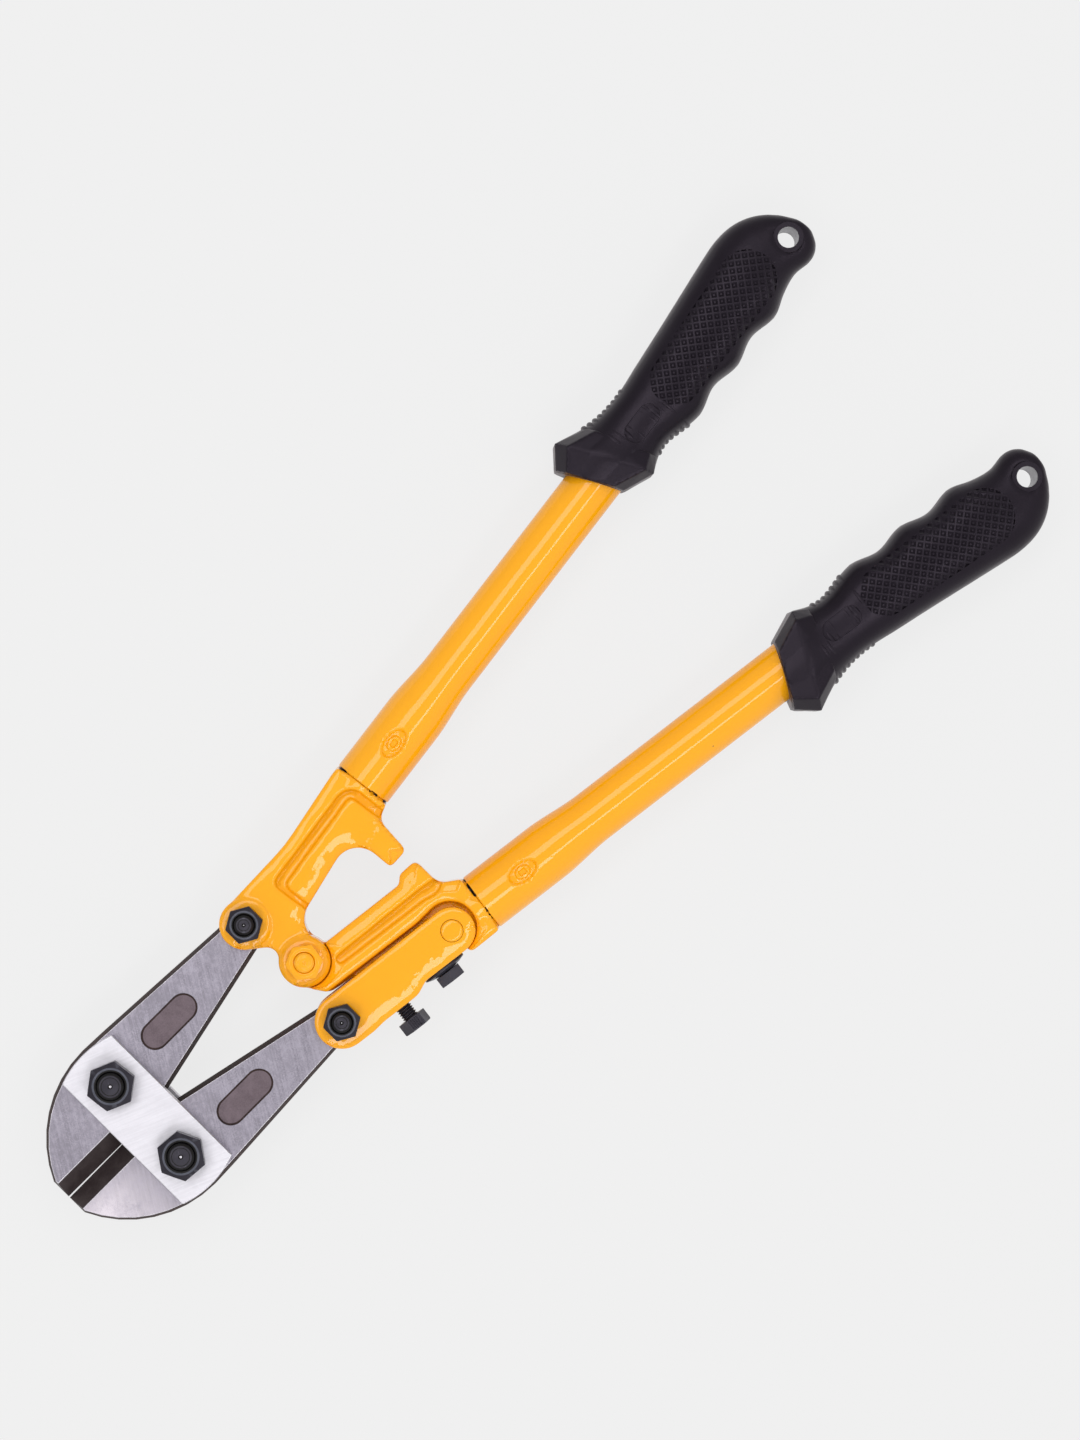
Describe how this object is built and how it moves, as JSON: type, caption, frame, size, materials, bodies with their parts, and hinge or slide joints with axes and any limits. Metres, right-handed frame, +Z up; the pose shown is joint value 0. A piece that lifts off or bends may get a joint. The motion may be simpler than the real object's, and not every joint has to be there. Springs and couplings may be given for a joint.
{
  "type": "bolt cutters",
  "caption": "Hand bolt cutters with compound leverage: forged jaws between strap plates, cast handle ends with an adjusting link, tube handles and finger-grooved grips.",
  "frame": {"origin": "centre of the bounding box at the level that the tool lies on, which is the heads of the two jaw bolts", "axes": "+Z up along every jaw and handle pivot, +Y from the nose of the jaws toward the grips, +X toward the handle that carries the adjuster"},
  "size_m": [0.132, 0.3638, 0.0321],
  "materials": {
    "jaw_steel": "forged alloy steel, faces ground bright, sides and bevels left dark",
    "strap_steel": "bright satin ground steel",
    "oxide_steel": "black oxide",
    "casting_paint": "gloss enamel on cast steel",
    "tube_paint": "gloss enamel on drawn steel tube",
    "grip_rubber": "satin moulded rubber, knurled panel",
    "eyelet_steel": "plain steel"
  },
  "bodies": {
    "right_handle": {"right_handle_end": "casting_paint", "right_tube": "tube_paint", "right_grip": "grip_rubber", "right_hang_eyelet": "eyelet_steel", "adjuster_rivet": "casting_paint"},
    "left_handle": {"left_handle_end": "casting_paint", "left_tube": "tube_paint", "left_grip": "grip_rubber", "left_hang_eyelet": "eyelet_steel", "handle_pivot_bolt": "casting_paint", "handle_pivot_nut": "casting_paint", "left_tail_bolt": "oxide_steel", "left_tail_nut": "oxide_steel"},
    "right_jaw": {"right_jaw": "jaw_steel", "right_tail_bolt": "oxide_steel", "right_tail_nut": "oxide_steel"},
    "straps": {"front_strap": "strap_steel", "rear_strap": "strap_steel", "left_jaw_bolt": "oxide_steel", "right_jaw_bolt": "oxide_steel", "left_jaw_nut": "oxide_steel", "right_jaw_nut": "oxide_steel"},
    "left_jaw": {"left_jaw": "jaw_steel"},
    "adjusting_link": {"adjusting_link": "casting_paint"},
    "set_screw": {"set_screw": "oxide_steel"},
    "lock_bolt": {"lock_bolt": "oxide_steel", "lock_washer": "oxide_steel"}
  },
  "joints": [
    {"name": "handle_hinge", "type": "hinge", "parent": "right_handle", "child": "left_handle", "pos_m": [0, -0.08189, 0.0149], "axis": [0, 0, 1], "range_deg": [-4.9, 70]},
    {"name": "right_tail_hinge", "type": "hinge", "parent": "right_handle", "child": "right_jaw", "pos_m": [0.02056, -0.08661, 0.0149], "axis": [0, 0, 1], "range_deg": [-3, 41]},
    {"name": "right_strap_hinge", "type": "hinge", "parent": "right_jaw", "child": "straps", "pos_m": [0.01475, -0.14819, 0.0149], "axis": [0, 0, -1], "range_deg": [-0.5, 5.6]},
    {"name": "left_strap_hinge", "type": "hinge", "parent": "straps", "child": "left_jaw", "pos_m": [-0.01475, -0.14819, 0.0149], "axis": [0, 0, -1], "range_deg": [-0.5, 5.6]},
    {"name": "link_swing", "type": "hinge", "parent": "right_handle", "child": "adjusting_link", "pos_m": [0.02462, -0.04428, 0.0149], "axis": [0, 0, 1], "range_deg": [-0.3, 0.3]},
    {"name": "set_screw_turn", "type": "hinge", "parent": "adjusting_link", "child": "set_screw", "pos_m": [0.03168, -0.07113, 0.0149], "axis": [-0.9914, 0.1305, 0], "range_deg": [-61, 61]},
    {"name": "lock_bolt_turn", "type": "hinge", "parent": "right_handle", "child": "lock_bolt", "pos_m": [0.0329, -0.05415, 0.0149], "axis": [0.9914, -0.1305, 0], "range_deg": [0, 180]}
  ],
  "couplings": [
    {"joint": "right_tail_hinge", "follows": "handle_hinge", "ratio": 0.5775},
    {"joint": "right_strap_hinge", "follows": "handle_hinge", "ratio": 0.0775},
    {"joint": "left_strap_hinge", "follows": "handle_hinge", "ratio": 0.0775},
    {"joint": "set_screw_turn", "follows": "link_swing", "ratio": 201.85}
  ]
}
